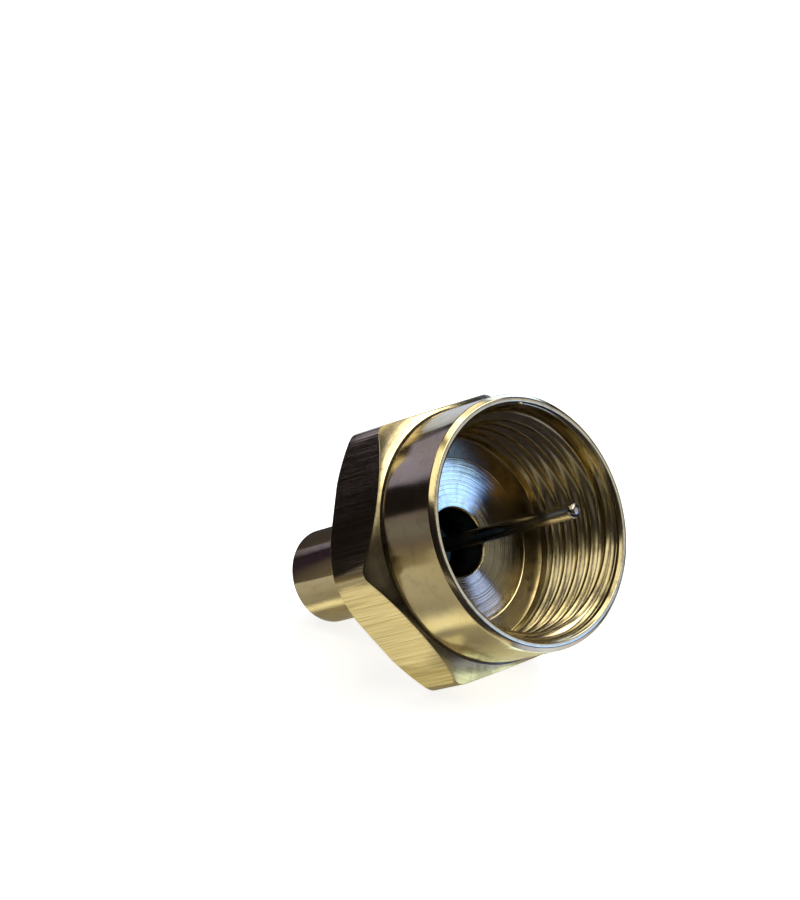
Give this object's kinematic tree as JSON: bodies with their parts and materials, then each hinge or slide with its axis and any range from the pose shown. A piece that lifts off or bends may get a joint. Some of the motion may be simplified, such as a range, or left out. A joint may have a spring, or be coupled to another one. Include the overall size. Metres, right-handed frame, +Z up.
{
  "type": "coaxial cable terminator",
  "caption": "Screw-on F-type coaxial terminator: hexagonal metal shell with a threaded socket, a centre pin and a slim tail holding its resistor.",
  "frame": {"origin": "on the connector's axis in the plane of the socket's rim", "axes": "+Z up; +X is level under the connector's axis, on the socket's side. The part lies tipped back on the rear edge of one flat and on the end of its tail, so its axis rises 25.42 degrees from +X towards +Z"},
  "size_m": [0.0157, 0.0126, 0.0123],
  "materials": {
    "plated_shell": "bright nickel plate over turned brass",
    "tinned_lead": "tinned copper wire",
    "solder": "bright solder",
    "ceramic_rod": "matte white ceramic",
    "pressed_cap": "tinned pressed steel",
    "lacquer": "dipped resistor lacquer"
  },
  "bodies": {
    "root": {"shell": "plated_shell", "centre_pin": "tinned_lead", "rear_lead": "tinned_lead", "solder_cap": "solder", "resistor_core": "ceramic_rod", "front_end_cap": "pressed_cap", "rear_end_cap": "pressed_cap", "resistor_coat": "lacquer"}
  },
  "joints": []
}
